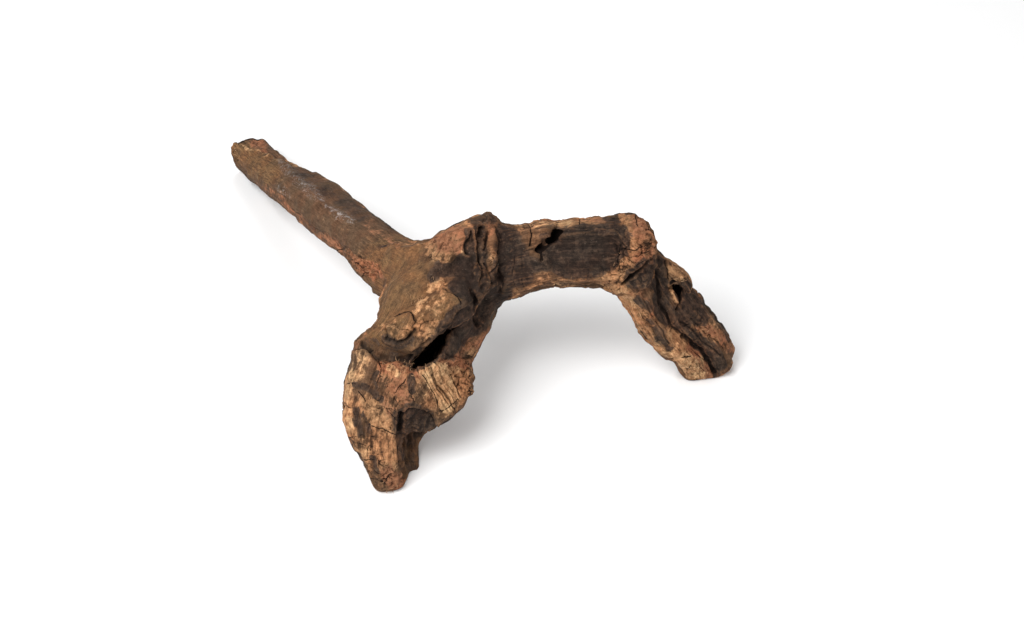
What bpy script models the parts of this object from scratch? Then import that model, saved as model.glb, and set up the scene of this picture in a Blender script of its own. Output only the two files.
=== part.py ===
"""A piece of driftwood: a short, thick trunk with three limbs, that stands on three worn ends.

The trunk leans back from its foot, which is the front support. A flat spar runs back and down from it
to a broken tip, and an arm arches out to the right and turns down at a knotty elbow into a forked leg.
All of it grew as one piece, so it is one solid. Lengths below are in millimetres, with the front foot
near the zero point, X to the right, Y to the back and Z up.
"""

import math

import bmesh
import bpy
import numpy as np
from mathutils import Vector, noise

MM = 0.001

# The piece is laid out as it is seen from an eye one metre in front of it and 40 degrees above.
EYE = Vector((0.0, -678.0, 684.8))
SIGHT = Vector((0.0, 0.766, -0.643))
ACROSS = Vector((1.0, 0.0, 0.0))
UPWARD = Vector((0.0, 0.643, 0.766))
EYE_DISTANCE = 1000.0
FACE = -SIGHT
UP = Vector((0.0, 0.0, 1.0))

RING_STEP = 4.0
RING_SIDES = 24
DOME_RINGS = 3

VOXEL = 1.6
TRIANGLES = 9800

WOOD_COLOUR = (0.22, 0.12, 0.065, 1.0)


def clear_scene():
    for old in list(bpy.data.objects):
        bpy.data.objects.remove(old, do_unlink=True)


def smooth_path(stations):
    """Stations of a limb, filled in along a curve through them, about RING_STEP apart."""
    rows = [np.array(s, float) for s in stations]
    path = []
    for i in range(len(rows) - 1):
        before = rows[max(i - 1, 0)]
        after = rows[min(i + 2, len(rows) - 1)]
        start, end = rows[i], rows[i + 1]
        steps = max(2, round(np.linalg.norm((end - start)[:3]) / RING_STEP))
        for k in range(steps):
            t = k / steps
            path.append(
                0.5 * (2 * start + (end - before) * t
                       + (2 * before - 5 * start + 4 * end - after) * t * t
                       + (3 * start - before - 3 * end + after) * t ** 3)
            )
    path.append(rows[-1])
    return path


def add_limb(shell, stations, facing=FACE, square=2.3, dome=0.6, flutes=5, flute=0.05, twist=0.03):
    """Lofts one closed limb into the bmesh.

    A station is x, y, z, half the width seen across the facing direction, and half the depth along it.
    square is the exponent of the section, 2 for an ellipse, and dome how far each end bulges. flute is
    the height of the long swellings round the section, and twist how far they turn in a millimetre.
    """
    path = smooth_path(stations)
    points = [Vector(row[:3]) for row in path]
    rings = []
    for i, row in enumerate(path):
        along = (points[min(i + 1, len(path) - 1)] - points[max(i - 1, 0)]).normalized()
        out = (facing - facing.dot(along) * along).normalized()
        rings.append((points[i], along, along.cross(out), out, row[3], row[4]))

    def dome_ring(ring, turn, sign):
        centre, along, side, out, width, depth = ring
        reach = dome * min(width, depth)
        return (centre + along * (sign * reach * math.sin(turn)), along, side, out,
                width * math.cos(turn), depth * math.cos(turn))

    turns = [math.radians(90) * k / (DOME_RINGS + 0.4) for k in range(1, DOME_RINGS + 1)]
    first = [dome_ring(rings[0], turn, -1) for turn in reversed(turns)]
    last = [dome_ring(rings[-1], turn, 1) for turn in turns]
    loops = []
    run = 0.0
    previous = None
    for centre, along, side, out, width, depth in first + rings + last:
        run += (centre - previous).length if previous else 0.0
        previous = centre
        loop = []
        for k in range(RING_SIDES):
            angle = 2 * math.pi * k / RING_SIDES
            c, s = math.cos(angle), math.sin(angle)
            swell = 1 + flute * math.cos(flutes * angle + twist * run)
            across = math.copysign(abs(c) ** (2 / square), c) * width * swell
            outward = math.copysign(abs(s) ** (2 / square), s) * depth * swell
            loop.append(shell.verts.new(centre + side * across + out * outward))
        loops.append(loop)
    for a, b in zip(loops, loops[1:]):
        for k in range(RING_SIDES):
            n = (k + 1) % RING_SIDES
            shell.faces.new((a[k], a[n], b[n], b[k]))
    shell.faces.new(list(reversed(loops[0])))
    shell.faces.new(loops[-1])


def object_of(shell, name):
    """A mesh object made from a bmesh, with its faces pointing out."""
    bmesh.ops.recalc_face_normals(shell, faces=shell.faces)
    mesh = bpy.data.meshes.new(name)
    shell.to_mesh(mesh)
    shell.free()
    made = bpy.data.objects.new(name, mesh)
    bpy.context.scene.collection.objects.link(made)
    return made


def apply_modifier(target, kind, **settings):
    modifier = target.modifiers.new(kind.title(), kind)
    for key, value in settings.items():
        setattr(modifier, key, value)
    graph = bpy.context.evaluated_depsgraph_get()
    mesh = bpy.data.meshes.new_from_object(target.evaluated_get(graph))
    target.modifiers.clear()
    old = target.data
    target.data = mesh
    bpy.data.meshes.remove(old)


def vertex_arrays(target):
    """Places in millimetres and outward normals of a mesh object, as arrays."""
    count = len(target.data.vertices)
    places = np.empty(count * 3, np.float32)
    normals = np.empty(count * 3, np.float32)
    target.data.vertices.foreach_get("co", places)
    target.data.vertex_normals.foreach_get("vector", normals)
    return places.reshape(-1, 3).astype(float) / MM, normals.reshape(-1, 3).astype(float)


def set_places(target, places):
    target.data.vertices.foreach_set("co", (places * MM).astype(np.float32).ravel())
    target.data.update()


def seen_from_eye(places):
    """Where each place lies in the eye's view, in millimetres across and up, and its line of sight."""
    ray = places - np.array(EYE)
    ahead = ray @ np.array(SIGHT)
    view = np.stack([ray @ np.array(ACROSS), ray @ np.array(UPWARD)], axis=1) * (EYE_DISTANCE / ahead)[:, None]
    return view, ray / np.linalg.norm(ray, axis=1)[:, None]


def distance_to_path(view, path):
    """Distance of each point of the view to a line of points drawn on it."""
    nearest = np.full(len(view), np.inf)
    for start, end in zip(path, path[1:]):
        a, run = np.array(start), np.array(end) - np.array(start)
        t = np.clip((view - a) @ run / (run @ run), 0, 1)
        nearest = np.minimum(nearest, np.linalg.norm(view - a - t[:, None] * run, axis=1))
    return nearest


def carve(target, strokes):
    """Sinks each stroke into the side that faces the eye, along the line of sight.

    A stroke is its half width, its depth, how square its bottom is, and its path in the eye's view.
    A negative depth raises a ridge.
    """
    places, normals = vertex_arrays(target)
    view, sight = seen_from_eye(places)
    facing = np.clip(-np.sum(normals * sight, axis=1) / 0.35, 0, 1)
    sunk = np.zeros(len(places))
    for half_width, depth, square, path in strokes:
        near = np.clip(distance_to_path(view, path) / half_width, 0, 1)
        sunk += depth * (1 - near ** square) ** 2
    set_places(target, places + sight * (sunk * facing)[:, None])


def weather(target):
    """Lumps and dents all over, as rot and water leave them."""
    places, normals = vertex_arrays(target)
    height = np.array([
        1.2 * noise.noise(Vector(p) / 21.0) + 0.6 * noise.noise(Vector(p) / 9.0 + Vector((5, 0, 0)))
        for p in places
    ])
    set_places(target, places + normals * height[:, None])


def add_spar(shell):
    """The flat spar, from its broken tip on the ground up to the trunk."""
    add_limb(shell, [
        (-154.5, 274, 8, 10.5, 10),
        (-140.5, 249.5, 16, 10.3, 10),
        (-124.5, 218.5, 28, 12, 10),
        (-108, 190, 38, 13, 11),
        (-93, 163, 46, 14, 12),
        (-78, 136, 54, 13, 12),
        (-63, 109, 59.3, 15.5, 14),
        (-46, 88, 62, 16, 17),
    ], facing=UP, square=3.4, dome=0.15, flutes=4, flute=0.03, twist=0.0)


def add_saddle(shell):
    """The web of fibres that sweeps from the spar up to the trunk."""
    add_limb(shell, [
        (-67, 101, 64.5, 8, 8),
        (-58, 93.5, 69.5, 10.5, 10),
        (-50, 87, 74.5, 11.5, 12),
        (-38, 80, 80, 12.5, 13),
    ])


def add_trunk(shell):
    """The trunk, from the crest at its top down to the front foot."""
    add_limb(shell, [
        (-12, 92, 94.8, 8.5, 10),
        (-21, 86.5, 88, 13.5, 16),
        (-29, 78, 76.5, 19, 20),
        (-38, 70, 66, 24, 22),
        (-45, 56, 54, 24, 22),
        (-50, 40, 44, 23, 20),
        (-62, 28, 30, 15, 16),
        (-62, 17, 15, 9, 12),
        (-58, 11, 1, 8, 8),
    ])


def add_front_leg(shell):
    """The shin, the calf set back beside it, and the broken plate and its edge across the two."""
    add_limb(shell, [
        (-65, 44, 58, 11, 12),
        (-68.7, 34, 45, 11.7, 12),
        (-69.5, 24, 31, 12, 12),
        (-64.8, 16, 17, 10.3, 10),
        (-60, 10, 2, 8, 8),
    ])
    add_limb(shell, [
        (-32.5, 54, 38.5, 10.5, 12),
        (-38, 46.5, 24.5, 10.5, 10),
        (-48, 38, 13, 7, 9),
        (-52, 29, 5, 6.7, 9),
        (-53, 20, 0, 8, 8),
    ])
    add_limb(shell, [
        (-60, 27, 40, 14, 10),
        (-45, 28, 39, 15, 9),
        (-34, 32, 38, 13, 8),
        (-27, 39, 40, 9, 7),
    ], square=2.8)
    add_limb(shell, [
        (-72, 40, 54, 5, 7),
        (-53, 33, 53, 4, 8),
        (-39, 36, 48, 4, 8),
        (-26, 43, 41, 6, 8),
    ])


def add_arm(shell):
    """The arm that arches to the right, with the knob of its elbow."""
    add_limb(shell, [
        (-24, 84, 77, 19, 18),
        (-3, 86, 77, 19, 18),
        (16, 88, 79.5, 16.3, 17),
        (38, 90, 80.2, 16.6, 16),
        (54, 92, 80.8, 16.6, 16),
        (60, 93, 80, 13, 14),
    ], square=2.6)
    add_limb(shell, [
        (58, 91, 93.5, 10.5, 11),
        (60.5, 88, 83, 11, 13),
        (59, 86, 72, 11, 12),
        (50, 86, 67, 9, 10),
    ])


def add_right_leg(shell):
    """The forked leg: an inner and an outer strand with a groove between them."""
    add_limb(shell, [
        (49, 92, 75, 11, 14),
        (61, 91, 60, 11, 14),
        (69, 90, 45, 11, 13),
        (77.5, 88.2, 31.2, 11, 12),
        (88, 90, 18.5, 10.7, 11),
        (95.5, 92.5, 1, 8.5, 9),
    ])
    add_limb(shell, [
        (64, 98, 73, 8, 12),
        (71, 98, 60, 9, 12),
        (80, 97, 44, 11.5, 12),
        (94.5, 97, 24, 13, 12),
        (105.5, 95.5, 4, 11.5, 11),
    ])
    add_limb(shell, [
        (72, 93, 68, 6, 8),
        (80, 92, 65, 6, 8),
        (85, 92, 57, 5, 8),
    ])


def add_lip(shell):
    """The rolled lip that overhangs the trunk's hollow."""
    add_limb(shell, [
        (-16, 64, 84, 7, 8),
        (-24, 54, 80, 9, 9),
        (-34, 48, 76, 10, 9),
        (-46, 42, 71, 10, 9),
        (-58, 42, 65, 8, 9),
        (-68, 43, 60, 8.5, 9),
    ])


def add_neck(shell):
    """The dark strand down the right of the hollow, that ends in the bulge beside the shelf."""
    add_limb(shell, [
        (-11, 84, 72, 9, 12),
        (-16, 76, 60, 10, 12),
        (-22, 66, 50, 10, 12),
        (-28, 54, 42, 9, 13),
        (-27.3, 46, 38.6, 8.8, 12),
    ])


def add_gnarls(shell):
    """The stub of a lost root behind the trunk, a knot behind the arm and a rib under the spar."""
    add_limb(shell, [
        (-40, 84, 54, 13, 12),
        (-38, 100, 47, 10, 10),
        (-35, 113, 43, 6, 7),
    ], facing=UP)
    add_limb(shell, [
        (14, 96, 74, 8, 8),
        (22, 104, 71, 8, 7),
        (32, 100, 74, 6, 7),
    ], facing=UP)
    add_limb(shell, [
        (-66, 120, 50, 6, 8),
        (-86, 152, 41, 6, 7),
        (-106, 188, 30, 5, 6),
        (-122, 216, 20, 4, 6),
    ], facing=UP)


def hollows():
    """The shapes that rot and water took out of the wood, as one cutter."""
    cut = bmesh.new()
    # The deep mouth under the lip.
    add_limb(cut, [
        (-50, 33, 52, 1.5, 12),
        (-45, 37, 54, 3.5, 16),
        (-40, 41, 56, 4.5, 18),
        (-35, 46, 61, 4, 16),
        (-30, 52, 67, 2, 10),
    ])
    # The hole at the left end of the arm's bowl.
    add_limb(cut, [
        (14, 79, 91, 1.2, 6),
        (17, 81, 93, 2, 9),
        (21, 83, 96, 2.4, 9),
        (23, 85, 98, 1.2, 6),
    ])
    # The hole under the knob of the right leg.
    add_limb(cut, [
        (81, 86, 61, 2.5, 10),
        (83, 87, 58, 3.2, 11),
        (84, 89, 52, 1.8, 9),
    ])
    bmesh.ops.scale(cut, vec=(MM, MM, MM), verts=cut.verts)
    return object_of(cut, "hollows")


# Strokes in the eye's view: half width, depth, squareness, path.
STROKES = [
    # The long bowl worn into the arm.
    (10, 4.5, 4, [(22, 32), (34, 32), (50, 31)]),
    # The groove between the strands of the right leg.
    (4.5, 6.0, 2, [(71, 22), (72.5, 12), (75, 2), (79, -6), (87, -13), (94, -18), (101, -27)]),
    # The hollow between the groove and the hole.
    (3, 2.5, 2, [(83, 10), (83, 2), (88, -6)]),
    # The dark pocket beside the front leg, under the plate.
    (6, 6.0, 4, [(-42, -52), (-48, -54), (-52, -66), (-52, -74), (-53, -80)]),
    # The trough between the lip and the shelf.
    (5, 5.0, 2, [(-73, -14), (-64, -18), (-53, -22), (-45, -20)]),
    # The valley from the mouth up between the lip and the neck.
    (4, 6.0, 2, [(-38, -16), (-31, -8), (-24, -2), (-19, 6)]),
    (5, 3.0, 2, [(-26, -10), (-22, -16), (-22, -22)]),
    # The folds where the arm leaves the trunk.
    (2.5, 4.5, 2, [(-21, 40), (-22, 33), (-19, 26), (-21, 17), (-18, 6)]),
    (2.5, 4.0, 2, [(-15, 43), (-13, 34), (-16, 26), (-12, 17), (-14, 8)]),
    (4, 4.0, 2, [(-5, 38), (-5, 26), (-8, 10)]),
    # The shallow hollow behind the crest, and the crest's rounded top.
    (7, 2.5, 2, [(-27, 24), (-22, 16), (-18, 10)]),
    (8, -2.5, 2, [(-36, 32), (-29, 38), (-22, 42)]),
    # The knob on the lip.
    (5, -2.5, 2, [(-64, -10), (-56, -10)]),
]


def cut_feet(target):
    """Cuts the three ends flat where they stand, and closes the cuts."""
    shell = bmesh.new()
    shell.from_mesh(target.data)
    whole = shell.verts[:] + shell.edges[:] + shell.faces[:]
    cut = bmesh.ops.bisect_plane(shell, geom=whole, plane_co=(0, 0, 0), plane_no=(0, 0, 1), clear_inner=True)
    rim = [item for item in cut["geom_cut"] if isinstance(item, bmesh.types.BMEdge)]
    bmesh.ops.holes_fill(shell, edges=rim, sides=0)
    bmesh.ops.triangulate(shell, faces=[face for face in shell.faces if len(face.verts) > 3])
    shell.to_mesh(target.data)
    shell.free()


def wood_material():
    material = bpy.data.materials.new("brown driftwood")
    material.use_nodes = True
    shader = material.node_tree.nodes["Principled BSDF"]
    shader.inputs["Base Color"].default_value = WOOD_COLOUR
    shader.inputs["Roughness"].default_value = 0.75
    material.diffuse_color = WOOD_COLOUR
    return material


def driftwood():
    shell = bmesh.new()
    limbs = (add_spar, add_saddle, add_trunk, add_front_leg, add_arm, add_right_leg, add_lip, add_neck, add_gnarls)
    for add in limbs:
        add(shell)
    bmesh.ops.scale(shell, vec=(MM, MM, MM), verts=shell.verts)
    wood = object_of(shell, "driftwood")
    apply_modifier(wood, "REMESH", mode="VOXEL", voxel_size=VOXEL * MM)
    apply_modifier(wood, "SMOOTH", factor=0.5, iterations=3)
    cutter = hollows()
    apply_modifier(wood, "BOOLEAN", operation="DIFFERENCE", object=cutter)
    bpy.data.objects.remove(cutter, do_unlink=True)
    carve(wood, STROKES)
    weather(wood)
    apply_modifier(wood, "REMESH", mode="VOXEL", voxel_size=VOXEL * MM)
    apply_modifier(wood, "SMOOTH", factor=0.5, iterations=1)
    apply_modifier(wood, "DECIMATE", ratio=TRIANGLES / (2 * len(wood.data.polygons)))
    cut_feet(wood)
    wood.data.materials.append(wood_material())
    return wood


def stand_on_origin(target):
    """Puts the middle of the piece's bounds over the zero point, and returns the move."""
    places, normals = vertex_arrays(target)
    low, high = places.min(axis=0), places.max(axis=0)
    shift = -np.array([(low[0] + high[0]) / 2, (low[1] + high[1]) / 2, low[2]])
    set_places(target, places + shift)
    return shift


clear_scene()
shift = stand_on_origin(driftwood())
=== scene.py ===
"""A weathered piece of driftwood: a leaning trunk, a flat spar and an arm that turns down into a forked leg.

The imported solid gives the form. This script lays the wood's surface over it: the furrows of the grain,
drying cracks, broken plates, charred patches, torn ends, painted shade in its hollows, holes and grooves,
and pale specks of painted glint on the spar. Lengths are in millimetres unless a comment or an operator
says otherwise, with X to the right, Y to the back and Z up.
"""

import math

import bpy
import numpy as np
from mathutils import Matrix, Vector, noise
from mathutils.kdtree import KDTree


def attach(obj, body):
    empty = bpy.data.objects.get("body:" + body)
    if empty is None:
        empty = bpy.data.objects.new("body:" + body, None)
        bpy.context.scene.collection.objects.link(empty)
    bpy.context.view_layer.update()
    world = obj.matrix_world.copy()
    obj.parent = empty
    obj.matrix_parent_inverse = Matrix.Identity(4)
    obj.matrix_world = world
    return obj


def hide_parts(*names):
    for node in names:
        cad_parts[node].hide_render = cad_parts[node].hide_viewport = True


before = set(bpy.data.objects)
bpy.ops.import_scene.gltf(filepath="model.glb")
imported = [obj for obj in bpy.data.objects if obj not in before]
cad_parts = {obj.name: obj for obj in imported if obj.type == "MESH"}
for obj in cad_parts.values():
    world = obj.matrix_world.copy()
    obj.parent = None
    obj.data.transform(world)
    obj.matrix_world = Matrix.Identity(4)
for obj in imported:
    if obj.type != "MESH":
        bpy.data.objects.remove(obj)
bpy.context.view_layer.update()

# The wood's surface.
# The piece grew as one, so one skin covers it. It starts as the solid's own surface, cut into cells
# fine enough to hold cracks and torn fibres, with the solid's facets worn away.

PER_METRE = 1000
CELL = 0.52
WEAR_PASSES = 28
TRIANGLES = 196000

wood = bpy.data.objects.new("weathered_wood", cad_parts["driftwood"].data.copy())
bpy.context.scene.collection.objects.link(wood)
bpy.ops.object.select_all(action="DESELECT")
wood.select_set(True)
bpy.context.view_layer.objects.active = wood
bpy.ops.object.mode_set(mode="EDIT")
bpy.ops.mesh.select_all(action="SELECT")
bpy.ops.mesh.remove_doubles(threshold=0.000001)
bpy.ops.object.mode_set(mode="OBJECT")
for kind, settings in [
    ("REMESH", {"mode": "VOXEL", "voxel_size": CELL / PER_METRE, "use_smooth_shade": True}),
    ("SMOOTH", {"factor": 0.5, "iterations": WEAR_PASSES}),
]:
    modifier = wood.modifiers.new(kind.lower(), kind)
    for name, value in settings.items():
        setattr(modifier, name, value)
    bpy.ops.object.modifier_apply(modifier=modifier.name)

count = len(wood.data.vertices)
flat = np.empty(count * 3, np.float32)
wood.data.vertices.foreach_get("co", flat)
places = flat.reshape(-1, 3).astype(float) * PER_METRE
wood.data.vertex_normals.foreach_get("vector", flat)
outward = flat.reshape(-1, 3).astype(float)
ends = np.empty(len(wood.data.edges) * 2, np.int32)
wood.data.edges.foreach_get("vertices", ends)
ends = ends.reshape(-1, 2)
neighbours = np.maximum(np.bincount(ends.ravel(), minlength=count), 1)


def spread(values, times):
    """Averages a value over each place and its neighbours, as often as asked."""
    for _ in range(times):
        total = np.bincount(ends[:, 0], values[ends[:, 1]], count)
        total += np.bincount(ends[:, 1], values[ends[:, 0]], count)
        values = 0.4 * values + 0.6 * total / neighbours
    return values


# The grain.
# Fibres run along each limb from the hub where the three limbs meet. A place on the wood is given by
# how far along its limb it lies and by its two offsets from the limb's middle line.

MOVED = np.array([24.05, -141.36, 0.0])
HUB = (-34, 74, 68)
LIMBS = {
    "spar": [HUB, (-50, 94, 62), (-79, 136, 54), (-109, 190, 38), (-126, 218, 28), (-143, 248, 16), (-156, 276, 8)],
    "trunk": [HUB, (-45, 56, 54), (-52, 40, 42), (-60, 26, 27), (-60, 9, 0), (-60, 2, -12)],
    "arm": [
        HUB, (-10, 84, 78), (16, 88, 82), (38, 90, 82), (54, 92, 80), (66, 92, 66), (76, 92, 46), (90, 92, 22),
        (101, 94, 0), (106, 94, -10),
    ],
}

LINE_STEP = 2
LINE_PASSES = 12
LIMB_FADE = 6.0


def along_limb(path):
    """Distance along the limb, the two offsets from it, and how far away it is, for each place."""
    knots = np.array(path, float) + MOVED
    line = [knots[0]]
    for start, end in zip(knots, knots[1:]):
        steps = int(np.linalg.norm(end - start) / LINE_STEP) + 1
        line += [start + (end - start) * k / steps for k in range(1, steps + 1)]
    line = np.array(line)
    for _ in range(LINE_PASSES):
        line[1:-1] = 0.5 * line[1:-1] + 0.25 * (line[:-2] + line[2:])
    runs = np.concatenate([[0], np.cumsum(np.linalg.norm(np.diff(line, axis=0), axis=1))])
    directions = np.gradient(line, axis=0)
    directions /= np.linalg.norm(directions, axis=1)[:, None]
    side = np.cross(directions[0], (0, 0, 1))
    sides = []
    for direction in directions:
        side = side - side.dot(direction) * direction
        side /= np.linalg.norm(side)
        sides.append(side)
    sides = np.array(sides)
    nearest = np.empty(count, int)
    batch = 20000
    for first in range(0, count, batch):
        some = places[first:first + batch]
        nearest[first:first + batch] = np.argmin(((some[:, None] - line[None]) ** 2).sum(axis=2), axis=1)
    offset = places - line[nearest]
    direction, side = directions[nearest], sides[nearest]
    ahead = (offset * direction).sum(axis=1)
    return (
        np.stack([runs[nearest] + ahead, (offset * side).sum(axis=1),
                  (offset * np.cross(direction, side)).sum(axis=1)], axis=1),
        np.linalg.norm(offset, axis=1),
    )


limb_places, limb_gaps = zip(*[along_limb(path) for path in LIMBS.values()])
shares = np.exp(-(np.array(limb_gaps) - np.min(limb_gaps, axis=0)) / LIMB_FADE)
shares /= shares.sum(axis=0)


def texture(length, breadth, seed):
    """Smooth random swellings, from -1 to 1, of that length along the grain and breadth across it."""
    total = np.zeros(count)
    for share, place in zip(shares, limb_places):
        chosen = np.flatnonzero(share > 0.02)
        scaled = place[chosen] / (length, breadth, breadth) + seed * 17.3
        total[chosen] += share[chosen] * np.array([noise.noise(Vector(p)) for p in scaled])
    return total * 1.6


def lumps(size, seed):
    """The same, but as long as they are broad."""
    scaled = places / size + seed * 11.7
    return np.array([noise.noise(Vector(p)) for p in scaled]) * 1.6


def chunks(size, seed):
    """Irregular blocks of that size: how far each place lies from its block's middle, and from its edge."""
    bend = 0.35 * np.stack([lumps(size * 0.8, seed + k) for k in range(3)], axis=1)
    found = np.array([noise.voronoi(Vector(p))[0][:2] for p in places / size + seed * 13.1 + bend])
    return found[:, 0], found[:, 1] - found[:, 0]


def ramp(values, low, high):
    """Rises smoothly from 0 at low to 1 at high."""
    t = np.clip((values - low) / (high - low), 0, 1)
    return t * t * (3 - 2 * t)


# The view that the marks are placed by.
# Marks on the seen side are drawn in the pixels of a picture 1024 wide and 629 high, taken by an eye
# one metre away and 40 degrees above. Their edges wander a little, as cracks and stains do.

EYE = np.array([0.0, -678.04, 684.79]) + MOVED
SLOPE = math.radians(40)
SIGHT = np.array([0.0, math.cos(SLOPE), -math.sin(SLOPE)])
UPWARD = np.array([0.0, math.sin(SLOPE), math.cos(SLOPE)])
WIDTH, HEIGHT = 1024, 629
LENS = 70.0
SENSOR = 36
PIXELS = LENS / SENSOR * WIDTH
PIXEL_SIZE = 0.5

ray = places - EYE
ahead = ray @ SIGHT
seen = np.stack([WIDTH / 2 + PIXELS * ray[:, 0] / ahead, HEIGHT / 2 - PIXELS * (ray @ UPWARD) / ahead], axis=1)
ray /= np.linalg.norm(ray, axis=1)[:, None]

# How squarely each place faces the eye, and how near it is to the outline.
facing = np.clip(-(outward * ray).sum(axis=1) / 0.3, 0, 1)
edge_on = np.clip(1.4 - 2.2 * np.abs((outward * ray).sum(axis=1)), 0, 1)
for size, swing, seed in [(9.0, 1.8, 1), (3.5, 0.8, 2)]:
    seen[:, 0] += swing * lumps(size, seed)
    seen[:, 1] += swing * lumps(size, seed + 5)


def near(path, reach, seen_only=True):
    """The places within reach of a line of pixels: their numbers, their distance and their side of it."""
    line = np.array(path, float)
    margin = reach / PIXEL_SIZE
    low, high = line.min(axis=0) - margin, line.max(axis=0) + margin
    chosen = np.flatnonzero(((seen > low) & (seen < high)).all(axis=1) & ((facing > 0) | (not seen_only)))
    gap = np.full(len(chosen), np.inf)
    side = np.zeros(len(chosen))
    spots = seen[chosen]
    for start, end in zip(line, line[1:]):
        run = end - start
        t = np.clip((spots - start) @ run / (run @ run), 0, 1)
        away = spots - start - t[:, None] * run
        length = np.linalg.norm(away, axis=1) * PIXEL_SIZE
        closer = length < gap
        gap[closer] = length[closer]
        side[closer] = np.sign(run[0] * away[closer, 1] - run[1] * away[closer, 0])
    return chosen, gap, side


def stain(marks):
    """A mark's strength over the wood. Each mark is its half width, its strength and its line of pixels."""
    strength = np.zeros(count)
    for half_width, amount, path in marks:
        chosen, gap, _ = near(path, half_width * 1.6)
        cover = amount * (1 - ramp(gap, half_width * 0.45, half_width * 1.5)) * facing[chosen]
        strength[chosen] = np.maximum(strength[chosen], cover)
    return strength


# Where the spar grows out of the trunk its fibres sweep round, so the valley between the two is filled.
swept = stain([(14, 1.0, [(420, 238), (402, 262), (386, 292), (378, 310)])])
even = np.stack([spread(places[:, k], times=150) for k in range(3)], axis=1)
places += swept[:, None] * (even - places)

# The hollows, folds and broken plates of the seen side.
# Rot and water opened the wood along its grain and across it. That left grooves between its folds, and
# plates with one broken edge that stands up.

# A groove or a ridge is its half width, its depth or height, and its line.
GROOVES = [
    # The folds between the crest and the arm.
    (1.4, 2.8, [(482, 228), (479, 240), (478, 250), (481, 262), (483, 274), (481, 283)]),
    (0.8, 1.3, [(487, 232), (486, 241), (483, 250)]),
    (0.7, 1.2, [(485, 262), (490, 272), (491, 284)]),
    (0.7, 0.9, [(497, 265), (491, 273)]),
    (1.2, 1.8, [(470, 232), (467, 245), (467, 254)]),
    (1.6, 1.8, [(499, 270), (501, 280), (499, 290)]),
    (1.5, 2.0, [(472, 290), (476, 304), (474, 318), (478, 326)]),
    # The crack down the arm, the hole's rim and the crack below it.
    (0.6, 1.1, [(529, 224), (530, 237), (529, 247)]),
    (2.2, 3.4, [(537, 250), (544, 246), (551, 239), (558, 233)]),
    (0.8, 1.0, [(541, 252), (540, 260)]),
    # The crease under the elbow.
    (1.4, 2.6, [(622, 285), (632, 275), (645, 268), (654, 259), (657, 250)]),
    # The forked leg's groove, the line below its hole and the furrows beside them.
    (1.4, 1.4, [(655, 270), (658, 290), (662, 309), (670, 325), (684, 338)]),
    (1.6, 2.4, [(684, 338), (702, 351), (713, 369), (716, 378)]),
    (1.0, 1.4, [(677, 290), (679, 300), (677, 310)]),
    (0.9, 1.0, [(682, 322), (700, 338), (720, 356)]),
    (0.9, 0.9, [(690, 318), (708, 334), (724, 348)]),
    (1.0, 1.0, [(644, 296), (650, 312), (660, 330), (668, 342)]),
    (0.8, 1.3, [(665, 260), (666, 268), (669, 278)]),
    # Under the lip.
    (1.4, 2.2, [(384, 328), (387, 339), (398, 344), (408, 338), (414, 330)]),
    (2.0, 2.0, [(362, 344), (376, 356), (394, 360), (410, 358)]),
    (1.2, 1.6, [(414, 352), (424, 343), (430, 338)]),
    (0.8, 1.0, [(410, 312), (414, 322), (411, 330)]),
    # The dark recess beside the front leg.
    (2.4, 2.4, [(401, 414), (400, 436), (402, 458), (405, 478)]),
    # The dark patch behind the crest.
    (6.0, 1.6, [(456, 262), (468, 268), (476, 284)]),
    # The pocket under the knob of the forked leg.
    (2.4, 2.4, [(674, 283), (678, 290)]),
    # The bowl in the arm.
    (2.0, 1.0, [(560, 232), (584, 228), (606, 231)]),
]

RIDGES = [
    # The ridge that runs up from the spar's broken tip, and the edges of its flat top.
    (1.8, 0.9, [(234, 144), (250, 151), (261, 155), (272, 157), (285, 167)]),
    (1.6, 0.6, [(286, 165), (304, 184), (328, 208), (350, 221)]),
    # The standing folds.
    (1.2, 1.2, [(483, 234), (482, 244), (484, 254)]),
    (3.0, 1.6, [(490, 240), (489, 252), (494, 266), (492, 278)]),
    (1.5, 1.2, [(473, 232), (476, 244), (476, 252)]),
    (1.6, 1.0, [(476, 264), (472, 274)]),
    # The crest and the lip's lumps.
    (5.0, 1.6, [(440, 240), (454, 232), (466, 234)]),
    (2.8, 1.3, [(436, 282), (446, 292)]),
    (3.0, 1.4, [(418, 304), (430, 312)]),
    (3.0, 1.5, [(452, 296), (462, 304)]),
    (4.0, 2.0, [(388, 330), (400, 332)]),
    (3.0, 1.4, [(424, 328), (434, 332)]),
    # The knob and the chip beside the hole of the forked leg.
    (2.6, 1.6, [(672, 272), (682, 276)]),
    (1.3, 1.4, [(669, 286), (672, 296), (676, 302)]),
    (3.0, 1.4, [(684, 362), (696, 364)]),
]

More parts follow.
